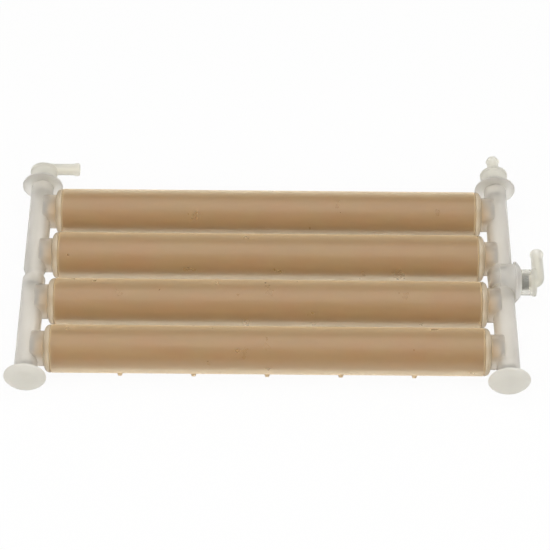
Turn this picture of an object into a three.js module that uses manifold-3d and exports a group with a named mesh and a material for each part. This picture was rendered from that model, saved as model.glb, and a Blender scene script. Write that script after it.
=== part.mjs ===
// Air stone bank: four porous air stone cores, each in a frosted tube shell, laid side by side
// between two header pipes that feed them with air. Millimetres, +Z up. X runs along the tubes
// and Y from front to back. Tubes are numbered from the front.

import * as THREE from 'three';
import { mergeVertices } from 'three/addons/utils/BufferGeometryUtils.js';
import Module from 'manifold-3d';

const wasm = await Module();
wasm.setup();

// Layout of the bank
const HEADER_SPACING = 253; // between the axes of the two header pipes
const TUBE_PITCH = 31.7; // between the two tubes of one module
const MODULE_PITCH = 32.5; // between the facing tubes of the front and rear modules
const PIPE_OVERHANG = 17.8; // from the outermost tube's axis to the end of its header pipe
const FIT_GAP = 0.3; // between pieces that seat in or on each other

// Tube shells, their outlet nubs and the cores inside them
const SHELL_D = 25.4;
const SHELL_WALL = 1.6;
const SHELL_EDGE = 0.3; // bevel round each mouth
const CORE_CLEARANCE = 0.5; // all round the core, inside the shell
const CORE_BORE_D = 8;
const CORE_EDGE = 0.6; // bevel round each end
const NUB_COUNT = 5;
const NUB_SPACING = 38.8;
const NUB_BASE_D = 3;
const NUB_TIP_D = 2;
const NUB_HEIGHT = 1.3;
const NUB_HOLE_D = 0.9;
const NUB_BELOW_LEVEL = 40; // degrees below horizontal, on the front side of each tube

// Tube caps: a rounded disc with a spigot for the header and a stub for the core
const CAP_LENGTH = 3.2;
const CAP_SHOULDER = 3;
const CAP_RABBET = 0.8; // how far the cap seats into the mouth of the shell
const CAP_TO_PIPE = 3.1; // from the cap's end face to the nearest line of the header pipe
const STUB_LENGTH = 6;
const AIR_BORE_D = 4.4;
const NECK_RING_SECTION = 1.6;
const SPIGOT_SHORT_OF_AXIS = 1.6; // from the spigot's tip to the header pipe's axis
const RING_LAND = 0.5; // from the tip of any spigot or stem to its ring's groove

// Header pipes with their branch bosses
const PIPE_D = 12.3;
const PIPE_BORE_D = 9.5;
const BOSS_D = 18.7;
const BOSS_SHORT_OF_AXIS = 2; // from the back of the boss to the header pipe's axis
const SOCKET_D = 10.6;
const PIPE_RING_SECTION = 1.2;

// Joint between the two left header pipes: a neck and spigot on the rear one
const NECK_D = 10.2;
const NECK_LENGTH = 4;
const NECK_TAPER = 3;
const JOINT_FACE_Y = -0.9; // the rim of the front pipe
const JOINT_SPIGOT_LENGTH = 7;
const JOINT_BORE_D = 4.2;

// Tee between the two right header pipes
const TEE_D = 20;
const TEE_REACH = 6.1; // from the header pipe's axis to the tee's end face
const TEE_WALL = 1.15; // of the sleeve round the pipes
const TEE_END_WALL = 1; // between the tee's chamber and its flange
const TEE_SOCKET_SHORT_OF_MIDDLE = 2.7;
const TEE_RING_SECTION = 1.5;

// Flanged nipples and end plugs that push into the pipe ends and the tee
const FLANGE_D = 22.3;
const FLANGE_THICKNESS = 3.5;
const FLANGE_EDGE = 0.3;
const FLANGE_RIM = 0.8; // from the pipe side to where the shoulder starts
const FLANGE_FACE_D = 16;
const SHOULDER_CURVE = 1.3; // 1 is a straight cone, and more is fuller
const STEM_LENGTH = 7;
const NIPPLE_D = 5.4;
const NIPPLE_LENGTH = 6.4;
const NIPPLE_BORE_D = 3;
const SEAL_WALL = 1;
const SEAL_LENGTH = 4.2;

// Swivel fittings: a cup that turns on the nipple, with a hose barb
const CUP_D = 14.2;
const CUP_LENGTH = 8.2;
const CUP_DEPTH = 6.8;
const LIP_D = 15.3;
const LIP_LENGTH = 2;
const LIP_EDGE = 0.4;
const LEG_PAST_CUP = 1.5; // from the cup's end to the axis of an elbow's leg
const LEG_BEND = 2.8; // radius of the bend along its middle
const BEND_STEP = 0.1; // how much thinner the bend is than the leg
const LEG_D = 6.4;
const LEG_REACH = 20; // from the swivel axis to the tip
const BEAD_D = 7.3;
const BEAD_LENGTH = 3.4;
const BEAD_SLOPE = 1.1;
const BARB_REACH = 12.3; // from the cup's end to the tip of the straight barb
const BARB_D = 7.6;
const BARB_TIP_D = 5.2;
const BARB_CONE = 2.4;
const HOSE_BORE_D = 3.2;
const LEFT_LEG_TURN = 0; // degrees round the swivel axis: the left leg points along the tubes
const SIDE_LEG_TURN = 185; // and the side leg points back, 5 degrees above level

// How many flat sides stand for a round
const TUBE_SIDES = 24;
const PIPE_SIDES = 16;
const BORE_SIDES = 8;
const HOLE_SIDES = 6;
const RING_SIDES = 12;
const RING_SECTION_SIDES = 6;
const CAP_SHOULDER_STEPS = 3;
const FLANGE_SHOULDER_STEPS = 3;
const BEND_STEPS = 10;
const THROUGH = 1; // how far a cut runs on past the face that it opens

// Sizes worked out from those above
const innerTubeY = MODULE_PITCH / 2;
const outerTubeY = innerTubeY + TUBE_PITCH;
const tubeYs = [-outerTubeY, -innerTubeY, innerTubeY, outerTubeY];
const pipeEndY = outerTubeY + PIPE_OVERHANG;
const headerX = HEADER_SPACING / 2;
const capFaceFromAxis = PIPE_D / 2 + CAP_TO_PIPE;
const capFaceX = headerX - capFaceFromAxis;
const shellHalf = capFaceX - CAP_LENGTH - FIT_GAP;
const shellBoreR = SHELL_D / 2 - SHELL_WALL;
const coreR = shellBoreR - CORE_CLEARANCE;
const coreHalf = capFaceX - CAP_LENGTH - CAP_RABBET - FIT_GAP;
const spigotR = SOCKET_D / 2 - FIT_GAP;
const spigotLength = capFaceFromAxis - SPIGOT_SHORT_OF_AXIS;
const stemR = PIPE_BORE_D / 2 - FIT_GAP;
const sealR = NIPPLE_D / 2 + FIT_GAP + SEAL_WALL;
const cupBoreR = sealR + FIT_GAP;
const flangeFace = FIT_GAP + FLANGE_THICKNESS;
const cupStart = flangeFace + FIT_GAP;
const cupEnd = cupStart + CUP_LENGTH;
const legAlong = cupEnd + LEG_PAST_CUP;

const frosted = new THREE.MeshStandardMaterial({ color: 0xb9a283, roughness: 0.35, metalness: 0 });
const porous = new THREE.MeshStandardMaterial({ color: 0xab8355, roughness: 0.95, metalness: 0 });
const milky = new THREE.MeshStandardMaterial({ color: 0xcfcac0, roughness: 0.4, metalness: 0 });
const rubber = new THREE.MeshStandardMaterial({ color: 0x4a4f50, roughness: 0.7, metalness: 0 });

const bank = new THREE.Group();

// A closed round body from its half outline, given as [radius, place along the axis] pairs that
// run up the outside. The axis is Y.
function turned(outline, sides) {
  const points = outline.map(([radius, along]) => new THREE.Vector2(radius, along));
  return new THREE.LatheGeometry(points, sides);
}

// The same for a body with a bore, whose outline closes on itself.
function turnedRing(outline, sides) {
  return turned([...outline, outline[0]], sides);
}

// A solid that can be joined and cut, from a closed geometry. Where a turned body meets its
// axis it has triangles with no area, which are left out.
function solid(geometry) {
  const bare = geometry.clone();
  bare.deleteAttribute('normal');
  bare.deleteAttribute('uv');
  const merged = mergeVertices(bare, 1e-4);
  const corners = merged.index.array;
  const kept = [];
  for (let index = 0; index < corners.length; index += 3) {
    const [a, b, c] = corners.slice(index, index + 3);
    if (a !== b && b !== c && c !== a) {
      kept.push(a, b, c);
    }
  }
  return new wasm.Manifold(new wasm.Mesh({
    numProp: 3,
    vertProperties: new Float32Array(merged.attributes.position.array),
    triVerts: new Uint32Array(kept),
  }));
}

// The geometry of a finished solid.
function surface(body) {
  const mesh = body.getMesh();
  const geometry = new THREE.BufferGeometry();
  geometry.setAttribute('position', new THREE.BufferAttribute(new Float32Array(mesh.vertProperties), 3));
  geometry.setIndex(new THREE.BufferAttribute(new Uint32Array(mesh.triVerts), 1));
  geometry.computeVertexNormals();
  return geometry;
}

// A round bar along Y, or along X where alongX is set, between two stations on its axis.
function bar(radius, from, to, { alongX = false, sides = PIPE_SIDES, y = 0 } = {}) {
  const geometry = new THREE.CylinderGeometry(radius, radius, Math.abs(to - from), sides);
  geometry.translate(0, (from + to) / 2, 0);
  if (alongX) {
    geometry.rotateZ(-Math.PI / 2);
  }
  geometry.translate(0, y, 0);
  return solid(geometry);
}

// Where a sealing ring sits on a spigot: in a groove a short land away from the tip.
// Direction is +1 for a spigot whose tip points up its axis and -1 for one that points down.
function ringSeat(radius, tip, direction, section) {
  const tipWall = tip - direction * RING_LAND;
  const rootWall = tipWall - direction * (section + 2 * FIT_GAP);
  return {
    tipWall,
    rootWall,
    middle: (tipWall + rootWall) / 2,
    floor: radius - section - FIT_GAP,
    ringR: radius - section / 2,
    section,
  };
}

function addMesh(name, geometry, material, parent) {
  const mesh = new THREE.Mesh(geometry, material);
  mesh.name = name;
  parent.add(mesh);
  return mesh;
}

// A sealing ring round the Y axis of its parent.
function addRing(name, ringR, section, along, parent) {
  const geometry = new THREE.TorusGeometry(ringR, section / 2, RING_SECTION_SIDES, RING_SIDES);
  geometry.rotateX(Math.PI / 2);
  const ring = addMesh(name, geometry, rubber, parent);
  ring.position.y = along;
}

// Tube shell: an open tube with a row of short outlet nubs low on its front side. Its axis is X.
function shellGeometry() {
  const outerR = SHELL_D / 2;
  const tube = turnedRing([
    [shellBoreR, -shellHalf],
    [outerR - SHELL_EDGE, -shellHalf],
    [outerR, -shellHalf + SHELL_EDGE],
    [outerR, shellHalf - SHELL_EDGE],
    [outerR - SHELL_EDGE, shellHalf],
    [shellBoreR, shellHalf],
  ], TUBE_SIDES);
  tube.rotateZ(-Math.PI / 2);
  let body = solid(tube);
  for (let index = 0; index < NUB_COUNT; index += 1) {
    const x = (index - (NUB_COUNT - 1) / 2) * NUB_SPACING;
    const root = outerR - SHELL_WALL / 2;
    const tip = outerR + NUB_HEIGHT;
    const height = tip - root;
    const holeR = NUB_HOLE_D / 2;
    const nub = new THREE.CylinderGeometry(NUB_TIP_D / 2, NUB_BASE_D / 2, height, BORE_SIDES);
    const hole = new THREE.CylinderGeometry(holeR, holeR, height + 2 * SHELL_WALL, HOLE_SIDES);
    for (const piece of [nub, hole]) {
      piece.translate(0, (tip + root) / 2, 0);
      piece.rotateX(THREE.MathUtils.degToRad(180 + NUB_BELOW_LEVEL));
      piece.translate(x, 0, 0);
    }
    body = body.add(solid(nub)).subtract(solid(hole));
  }
  return surface(body);
}

// Porous core: a thick tube that the caps' stubs hold in the middle of the shell.
function coreGeometry() {
  const boreR = CORE_BORE_D / 2;
  const core = turnedRing([
    [boreR, -coreHalf],
    [coreR - CORE_EDGE, -coreHalf],
    [coreR, -coreHalf + CORE_EDGE],
    [coreR, coreHalf - CORE_EDGE],
    [coreR - CORE_EDGE, coreHalf],
    [boreR, coreHalf],
  ], TUBE_SIDES);
  core.rotateZ(-Math.PI / 2);
  return core;
}

// Tube cap, with its end face at zero and its spigot pointing up the axis.
const neckSeat = ringSeat(spigotR, spigotLength, 1, NECK_RING_SECTION);

// The quarter round between the cap's side and its end face.
function capShoulder(outerR) {
  return Array.from({ length: CAP_SHOULDER_STEPS + 1 }, (_, step) => {
    const angle = (Math.PI / 2) * (step / CAP_SHOULDER_STEPS);
    const radius = outerR - CAP_SHOULDER * (1 - Math.cos(angle));
    return [radius, -CAP_SHOULDER * (1 - Math.sin(angle))];
  });
}

function capGeometry() {
  const outerR = SHELL_D / 2;
  const seatR = shellBoreR - FIT_GAP;
  const stubR = CORE_BORE_D / 2 - FIT_GAP;
  const boreR = AIR_BORE_D / 2;
  const back = -CAP_LENGTH;
  const rabbet = back - CAP_RABBET;
  return turnedRing([
    [boreR, rabbet - STUB_LENGTH],
    [stubR, rabbet - STUB_LENGTH],
    [stubR, rabbet],
    [seatR, rabbet],
    [seatR, back],
    [outerR, back],
    ...capShoulder(outerR),
    [spigotR, 0],
    [spigotR, neckSeat.rootWall],
    [neckSeat.floor, neckSeat.rootWall],
    [neckSeat.floor, neckSeat.tipWall],
    [spigotR, neckSeat.tipWall],
    [spigotR, spigotLength],
    [boreR, spigotLength],
  ], PIPE_SIDES);
}

// Header pipe with a branch boss for each of its tubes. The body is the outside of the pipe
// along Y, and inward is +1 or -1 for the side of X that the tubes are on.
function withBranches(body, branchYs, inward, from, to) {
  let pipe = body;
  const mouth = inward * (capFaceFromAxis - FIT_GAP);
  for (const y of branchYs) {
    const back = inward * BOSS_SHORT_OF_AXIS;
    pipe = pipe.add(bar(BOSS_D / 2, back, mouth, { alongX: true, y }));
  }
  pipe = pipe.subtract(bar(PIPE_BORE_D / 2, from, to));
  for (const y of branchYs) {
    const bottom = inward * (SPIGOT_SHORT_OF_AXIS - FIT_GAP);
    const socketEnd = mouth + inward * THROUGH;
    pipe = pipe.subtract(bar(SOCKET_D / 2, bottom, socketEnd, { alongX: true, y }));
  }
  return pipe;
}

// Plain header pipe, open at both ends.
function plainHeader(from, to, branchYs, inward) {
  const outside = bar(PIPE_D / 2, from, to);
  return surface(withBranches(outside, branchYs, inward, from - THROUGH, to + THROUGH));
}

// The left rear pipe narrows to a neck and a spigot that pushes into the pipe in front of it.
const joint = {
  shoulder: JOINT_FACE_Y + FIT_GAP,
  tip: JOINT_FACE_Y + FIT_GAP - JOINT_SPIGOT_LENGTH,
};
joint.seat = ringSeat(stemR, joint.tip, -1, PIPE_RING_SECTION);

function neckedHeader(branchYs, inward) {
  const boreR = JOINT_BORE_D / 2;
  const neckEnd = joint.shoulder + NECK_LENGTH;
  const outside = solid(turnedRing([
    [boreR, joint.tip],
    [stemR, joint.tip],
    [stemR, joint.seat.tipWall],
    [joint.seat.floor, joint.seat.tipWall],
    [joint.seat.floor, joint.seat.rootWall],
    [stemR, joint.seat.rootWall],
    [stemR, joint.shoulder],
    [NECK_D / 2, joint.shoulder],
    [NECK_D / 2, neckEnd],
    [PIPE_D / 2, neckEnd + NECK_TAPER],
    [PIPE_D / 2, pipeEndY],
    [boreR, pipeEndY],
  ], PIPE_SIDES));
  return surface(withBranches(outside, branchYs, inward, neckEnd, pipeEndY + THROUGH));
}

// Stem that pushes into a pipe end, from its tip up to the flange. The pipe's end face is zero.
const stemSeat = ringSeat(stemR, -STEM_LENGTH, -1, PIPE_RING_SECTION);
const stemOutline = [
  [stemR, -STEM_LENGTH],
  [stemR, stemSeat.tipWall],
  [stemSeat.floor, stemSeat.tipWall],
  [stemSeat.floor, stemSeat.rootWall],
  [stemR, stemSeat.rootWall],
  [stemR, FIT_GAP],
];

// Flange, from its pipe side to its outer face: a narrow rim, then a shoulder that slopes in.
function flangeOutline() {
  const rimR = FLANGE_D / 2;
  const drop = rimR - FLANGE_FACE_D / 2;
  const shoulder = Array.from({ length: FLANGE_SHOULDER_STEPS + 1 }, (_, step) => {
    const share = step / FLANGE_SHOULDER_STEPS;
    const along = FIT_GAP + FLANGE_RIM + share * (FLANGE_THICKNESS - FLANGE_RIM);
    return [rimR - drop * share ** SHOULDER_CURVE, along];
  });
  return [[rimR - FLANGE_EDGE, FIT_GAP], [rimR, FIT_GAP + FLANGE_EDGE], ...shoulder];
}

// Flange with the nipple that the seal and the cup go over
const nippleEnd = flangeFace + NIPPLE_LENGTH;

function nippleHeadOutline() {
  return [...flangeOutline(), [NIPPLE_D / 2, flangeFace], [NIPPLE_D / 2, nippleEnd]];
}

// Flanged nipple for a pipe end: a stem, the flange and the nipple.
function nippleGeometry() {
  const boreR = NIPPLE_BORE_D / 2;
  return turnedRing([
    [boreR, -STEM_LENGTH],
    ...stemOutline,
    ...nippleHeadOutline(),
    [boreR, nippleEnd],
  ], PIPE_SIDES);
}

// Side tee: a short barrel along X with a sleeve across it, where both right pipes push in
// against face rings. Its outer end carries a flange and nipple of its own.
function teeGeometry() {
  const boreR = NIPPLE_BORE_D / 2;
  const sleeveHalf = innerTubeY - BOSS_D / 2 - FIT_GAP;
  const socketR = PIPE_D / 2 + FIT_GAP;
  const barrelStart = FIT_GAP - BOSS_SHORT_OF_AXIS;
  const barrelEnd = TEE_REACH + FIT_GAP + FLANGE_THICKNESS / 2;
  const head = turnedRing([
    [boreR, 0],
    [stemR, 0],
    [stemR, FIT_GAP],
    ...nippleHeadOutline(),
    [boreR, nippleEnd],
  ], PIPE_SIDES);
  head.rotateZ(-Math.PI / 2);
  head.translate(TEE_REACH, 0, 0);
  let tee = bar(TEE_D / 2, barrelStart, barrelEnd, { alongX: true });
  tee = tee.add(bar(socketR + TEE_WALL, -sleeveHalf, sleeveHalf)).add(solid(head));
  for (const direction of [-1, 1]) {
    tee = tee.subtract(bar(socketR, direction * TEE_SOCKET_SHORT_OF_MIDDLE, direction * TEE_D));
  }
  tee = tee.subtract(bar(PIPE_BORE_D / 2, -TEE_D, TEE_D));
  tee = tee.subtract(bar(PIPE_BORE_D / 2, 0, TEE_REACH - TEE_END_WALL, { alongX: true }));
  const passage = { alongX: true, sides: BORE_SIDES };
  return surface(tee.subtract(bar(boreR, 0, TEE_REACH + nippleEnd + THROUGH, passage)));
}

// End plug: the same stem and flange, closed.
function plugGeometry() {
  return turned([
    [0, -STEM_LENGTH],
    ...stemOutline,
    ...flangeOutline(),
    [0, flangeFace],
  ], PIPE_SIDES);
}

// Seal: a sleeve of rubber on the nipple.
function sealGeometry() {
  const start = cupStart;
  return turnedRing([
    [NIPPLE_D / 2 + FIT_GAP, start],
    [sealR, start],
    [sealR, start + SEAL_LENGTH],
    [NIPPLE_D / 2 + FIT_GAP, start + SEAL_LENGTH],
  ], RING_SIDES);
}

// The cup of a swivel fitting, still solid, with a lip round its outer end.
function cupBody() {
  const lipStart = cupEnd - LIP_LENGTH;
  return solid(turned([
    [0, cupStart],
    [CUP_D / 2, cupStart],
    [CUP_D / 2, lipStart],
    [LIP_D / 2, lipStart + LIP_EDGE],
    [LIP_D / 2, cupEnd - LIP_EDGE],
    [LIP_D / 2 - LIP_EDGE, cupEnd],
    [0, cupEnd],
  ], PIPE_SIDES));
}

// The room in the cup for the nipple and its seal, and the passage on from there.
function cutPassages(body, passageEnd) {
  const room = bar(cupBoreR, cupStart - THROUGH, cupStart + CUP_DEPTH, { sides: RING_SIDES });
  const passage = bar(HOSE_BORE_D / 2, cupStart, passageEnd, { sides: BORE_SIDES });
  return body.subtract(room).subtract(passage);
}

// Quarter bend from the cup's end into the leg: a round body about the bend's centre, of which
// one quarter is kept. It is a touch thinner than the leg, whose root then shows as a fine step.
function bendBody() {
  const bendR = LEG_D / 2 - BEND_STEP;
  const poleAngle = Math.acos(-LEG_BEND / bendR);
  const outline = Array.from({ length: BEND_STEPS + 1 }, (_, step) => {
    const angle = poleAngle * ((2 * step) / BEND_STEPS - 1);
    return [LEG_BEND + bendR * Math.cos(angle), bendR * Math.sin(angle)];
  });
  outline[0][0] = 0;
  outline[BEND_STEPS][0] = 0;
  const round = turned(outline, PIPE_SIDES);
  round.rotateX(Math.PI / 2);
  round.translate(LEG_BEND, legAlong - LEG_BEND, 0);
  const reach = LEG_BEND + LEG_D;
  const quarter = new THREE.BoxGeometry(reach, reach, reach);
  quarter.translate(LEG_BEND - reach / 2, legAlong - LEG_BEND + reach / 2, 0);
  return solid(round).intersect(solid(quarter));
}

// Elbow fitting: the cup's passage bends into a leg that points along +X, with a bead at its tip.
function elbowGeometry() {
  const legR = LEG_D / 2;
  const beadStart = LEG_REACH - BEAD_LENGTH;
  const leg = turned([
    [0, LEG_BEND - BEND_STEP],
    [legR, LEG_BEND - BEND_STEP],
    [legR, beadStart],
    [BEAD_D / 2, beadStart + BEAD_SLOPE],
    [BEAD_D / 2, LEG_REACH - BEAD_SLOPE],
    [BEAD_D / 2 - BEAD_SLOPE / 2, LEG_REACH],
    [0, LEG_REACH],
  ], PIPE_SIDES);
  leg.rotateZ(-Math.PI / 2);
  leg.translate(0, legAlong, 0);
  const body = cutPassages(cupBody().add(bendBody()).add(solid(leg)), legAlong);
  const legBore = { alongX: true, sides: BORE_SIDES, y: legAlong };
  return surface(body.subtract(bar(HOSE_BORE_D / 2, 0, LEG_REACH + THROUGH, legBore)));
}

// Straight fitting: the cup with a barb on its axis, square on the cup's side and tapered at the tip.
function straightGeometry() {
  const legR = LEG_D / 2;
  const tip = cupEnd + BARB_REACH;
  const barb = solid(turned([
    [0, cupEnd - LIP_LENGTH / 2],
    [legR, cupEnd - LIP_LENGTH / 2],
    [legR, tip - BARB_CONE],
    [BARB_D / 2, tip - BARB_CONE],
    [BARB_TIP_D / 2, tip],
    [0, tip],
  ], PIPE_SIDES));
  return surface(cutPassages(cupBody().add(barb), tip + THROUGH));
}

// A group whose Y axis points out of a pipe end or the tee, with zero on its end face.
function station(x, y, turn) {
  const group = new THREE.Group();
  group.position.set(x, y, 0);
  group.rotation.z = THREE.MathUtils.degToRad(turn);
  bank.add(group);
  return group;
}

// Tubes, with a cap and a neck ring at each end
tubeYs.forEach((y, index) => {
  const number = index + 1;
  const shell = addMesh(`tube_shell_${number}`, shellGeometry(), frosted, bank);
  const core = addMesh(`porous_core_${number}`, coreGeometry(), porous, bank);
  shell.position.y = y;
  core.position.y = y;
  for (const [side, direction] of [['left', -1], ['right', 1]]) {
    const end = station(direction * capFaceX, y, -90 * direction);
    addMesh(`tube_cap_${side}_${number}`, capGeometry(), milky, end);
    addRing(`neck_ring_${side}_${number}`, neckSeat.ringR, neckSeat.section, neckSeat.middle, end);
  }
});

// Left header: the front pipe takes the rear pipe's spigot
const frontBranches = [-outerTubeY, -innerTubeY];
const rearBranches = [innerTubeY, outerTubeY];
const leftHeader = station(-headerX, 0, 0);
const leftFront = plainHeader(-pipeEndY, JOINT_FACE_Y, frontBranches, 1);
addMesh('header_left_front', leftFront, milky, leftHeader);
addMesh('header_left_rear', neckedHeader(rearBranches, 1), milky, leftHeader);
addRing('joint_ring_left', joint.seat.ringR, PIPE_RING_SECTION, joint.seat.middle, leftHeader);

// Right header: both pipes push into the side tee, each against a ring at the bottom of its socket
const rightHeader = station(headerX, 0, 0);
const teePipeEnd = TEE_SOCKET_SHORT_OF_MIDDLE + TEE_RING_SECTION + 2 * FIT_GAP;
const teeRingY = TEE_SOCKET_SHORT_OF_MIDDLE + FIT_GAP + TEE_RING_SECTION / 2;
const teeRingR = (PIPE_D - TEE_RING_SECTION) / 2;
const rightFront = plainHeader(-pipeEndY, -teePipeEnd, frontBranches, -1);
const rightRear = plainHeader(teePipeEnd, pipeEndY, rearBranches, -1);
addMesh('header_right_front', rightFront, milky, rightHeader);
addMesh('header_right_rear', rightRear, milky, rightHeader);
addMesh('side_tee', teeGeometry(), milky, rightHeader);
addRing('tee_ring_front', teeRingR, TEE_RING_SECTION, -teeRingY, rightHeader);
addRing('tee_ring_rear', teeRingR, TEE_RING_SECTION, teeRingY, rightHeader);

// Flanged nipples in the two rear ends
const leftEnd = station(-headerX, pipeEndY, 0);
const rightEnd = station(headerX, pipeEndY, 0);
const sideEnd = station(headerX + TEE_REACH, 0, -90);
for (const [name, at] of [['left', leftEnd], ['right', rightEnd]]) {
  addMesh(`nipple_${name}`, nippleGeometry(), milky, at);
  addRing(`nipple_ring_${name}`, stemSeat.ringR, stemSeat.section, stemSeat.middle, at);
}

// Swivel fittings over the three nipples, each on its seal
const fittings = [
  { name: 'left', at: leftEnd, kind: 'elbow', turn: LEFT_LEG_TURN },
  { name: 'right', at: rightEnd, kind: 'straight', turn: 0 },
  { name: 'side', at: sideEnd, kind: 'elbow', turn: SIDE_LEG_TURN },
];
for (const { name, at, kind, turn } of fittings) {
  addMesh(`cup_seal_${name}`, sealGeometry(), rubber, at);
  const geometry = kind === 'elbow' ? elbowGeometry() : straightGeometry();
  const swivel = addMesh(`${kind}_fitting_${name}`, geometry, milky, at);
  swivel.rotation.y = THREE.MathUtils.degToRad(turn);
}

// Plugs in the two front ends
for (const [side, direction] of [['left', -1], ['right', 1]]) {
  const end = station(direction * headerX, -pipeEndY, 180);
  addMesh(`end_plug_${side}`, plugGeometry(), milky, end);
  addRing(`plug_ring_${side}`, stemSeat.ringR, stemSeat.section, stemSeat.middle, end);
}

// The origin is under the middle of the bank's box, on the surface that it lies on
bank.updateMatrixWorld(true);
const extent = new THREE.Box3().setFromObject(bank, true);
const middle = extent.getCenter(new THREE.Vector3());
bank.position.set(-middle.x, -middle.y, -extent.min.z);

export default bank;
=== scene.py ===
from math import cos, pi, radians, sin

import bpy
from mathutils import Matrix, Vector


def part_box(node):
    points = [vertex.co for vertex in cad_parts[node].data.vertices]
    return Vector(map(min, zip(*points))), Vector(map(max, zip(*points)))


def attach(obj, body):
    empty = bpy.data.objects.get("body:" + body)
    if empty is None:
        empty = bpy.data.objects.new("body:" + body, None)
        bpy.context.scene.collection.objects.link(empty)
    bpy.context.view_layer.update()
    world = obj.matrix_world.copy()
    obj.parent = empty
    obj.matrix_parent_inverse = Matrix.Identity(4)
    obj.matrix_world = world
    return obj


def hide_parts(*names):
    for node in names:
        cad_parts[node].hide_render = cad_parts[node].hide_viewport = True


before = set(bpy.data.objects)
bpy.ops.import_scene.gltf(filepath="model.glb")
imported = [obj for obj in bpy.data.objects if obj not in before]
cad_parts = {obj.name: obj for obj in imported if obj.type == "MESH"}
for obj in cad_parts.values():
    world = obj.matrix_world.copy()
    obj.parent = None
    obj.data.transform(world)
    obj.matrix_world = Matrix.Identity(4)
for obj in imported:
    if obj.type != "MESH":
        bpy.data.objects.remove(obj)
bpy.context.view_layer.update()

# ---- Porous cores ----
# Four thick tubes of ceramic grit, pressed and fired, that the air seeps through. Each has a
# bore for the air and hangs between the stubs of two caps, clear of its shell all round.

MM = 0.001
CORE_R = 10.6
CORE_BORE_R = 4
CORE_HALF = 112.95
CORE_EDGE = 0.6
CORE_STEP = 2.5
GRIT_SIZE = 1.6
GRIT_RELIEF = 0.12
SAME_POINT = 0.002
SHARP = 35
X_AXIS, Y_AXIS, Z_AXIS = Vector((1, 0, 0)), Vector((0, 1, 0)), Vector((0, 0, 1))


def linear(shade):
    """An sRGB hex colour as linear red, green, blue and alpha."""
    parts = [int(shade[i:i + 2], 16) / 255 for i in (1, 3, 5)]
    return [c / 12.92 if c <= 0.04045 else ((c + 0.055) / 1.055) ** 2.4 for c in parts] + [1]


def add_node(tree, kind, inputs, **settings):
    """A new node with its settings, and with each input set to a value or linked to an output."""
    node = tree.nodes.new("ShaderNode" + kind)
    for name, value in settings.items():
        setattr(node, name, value)
    for socket, value in inputs.items():
        if isinstance(value, bpy.types.NodeSocket):
            tree.links.new(value, node.inputs[socket])
        else:
            node.inputs[socket].default_value = value
    return node


def new_material(name):
    """An empty material, its node tree, and the coordinates of the piece that wears it."""
    material = bpy.data.materials.new(name)
    material.use_nodes = True
    tree = material.node_tree
    tree.nodes.clear()
    return material, tree, add_node(tree, "TexCoord", {}).outputs["Object"]


def alone(piece):
    """Selects one piece and nothing else."""
    bpy.ops.object.select_all(action="DESELECT")
    piece.select_set(True)
    bpy.context.view_layer.objects.active = piece


def turned(name, outline, sides=96):
    """A closed round body from its half outline of [radius, along] in mm, turned about Z."""
    bpy.ops.object.select_all(action="DESELECT")
    bpy.ops.mesh.primitive_plane_add(size=MM)
    piece = bpy.context.object
    piece.name = piece.data.name = name
    bpy.ops.object.mode_set(mode="EDIT")
    bpy.ops.mesh.merge(type="CENTER")
    start = outline[0]
    bpy.ops.transform.translate(value=(start[0] * MM, 0, start[1] * MM))
    for (r1, z1), (r2, z2) in zip(outline, outline[1:]):
        step = ((r2 - r1) * MM, 0, (z2 - z1) * MM)
        bpy.ops.mesh.extrude_region_move(TRANSFORM_OT_translate={"value": step})
    bpy.ops.mesh.select_all(action="SELECT")
    bpy.ops.mesh.spin(steps=sides, angle=2 * pi, center=(0, 0, 0), axis=(0, 0, 1))
    bpy.ops.mesh.select_all(action="SELECT")
    bpy.ops.mesh.remove_doubles(threshold=SAME_POINT * MM)
    bpy.ops.mesh.normals_make_consistent(inside=False)
    bpy.ops.object.mode_set(mode="OBJECT")
    return piece


def turned_ring(name, outline, sides=96):
    """The same for a body with a bore, whose outline closes on itself."""
    return turned(name, [*outline, outline[0]], sides)


def apply_modifier(piece, kind, **settings):
    """Adds a modifier with its settings and applies it."""
    alone(piece)
    modifier = piece.modifiers.new(kind, kind)
    for name, value in settings.items():
        setattr(modifier, name, value)
    bpy.ops.object.modifier_apply(modifier=modifier.name)


def round_edges(piece, width, segments=3):
    """Rounds a body's sharp edges by a radius in mm."""
    apply_modifier(piece, "BEVEL", width=width * MM, segments=segments, limit_method="ANGLE",
                   angle_limit=radians(SHARP), use_clamp_overlap=True)


def stand(piece, at, axis, across=None):
    """Puts a body that was made round +Z at a place, with its axis and its +X side given."""
    across = across or (Z_AXIS if abs(axis.z) < 0.5 else X_AXIS)
    turn = Matrix((across, axis.cross(across), axis)).transposed()
    piece.matrix_world = Matrix.Translation(at) @ turn.to_4x4()
    alone(piece)
    bpy.ops.object.transform_apply(location=True, rotation=True, scale=True)


def copy_of(piece, name, move=(0, 0, 0)):
    """A copy with a mesh of its own, moved by an offset in metres."""
    twin = piece.copy()
    twin.data = piece.data.copy()
    twin.name = twin.data.name = name
    bpy.context.scene.collection.objects.link(twin)
    twin.location = move
    alone(twin)
    bpy.ops.object.transform_apply(location=True, rotation=True, scale=True)
    return twin


def finish_piece(piece, material, body, slot, *nodes, smooth=SHARP):
    """Smooth shading, the material, the body it rides on, and the nodes it stands for; slot is not
    used.
    """
    alone(piece)
    bpy.ops.object.shade_smooth_by_angle(angle=radians(smooth))
    piece.data.materials.clear()
    piece.data.materials.append(material)
    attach(piece, body)
    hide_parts(*nodes)


def middle_of(node):
    """The middle of a CAD node's box."""
    low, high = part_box(node)
    return (low + high) / 2


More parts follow.
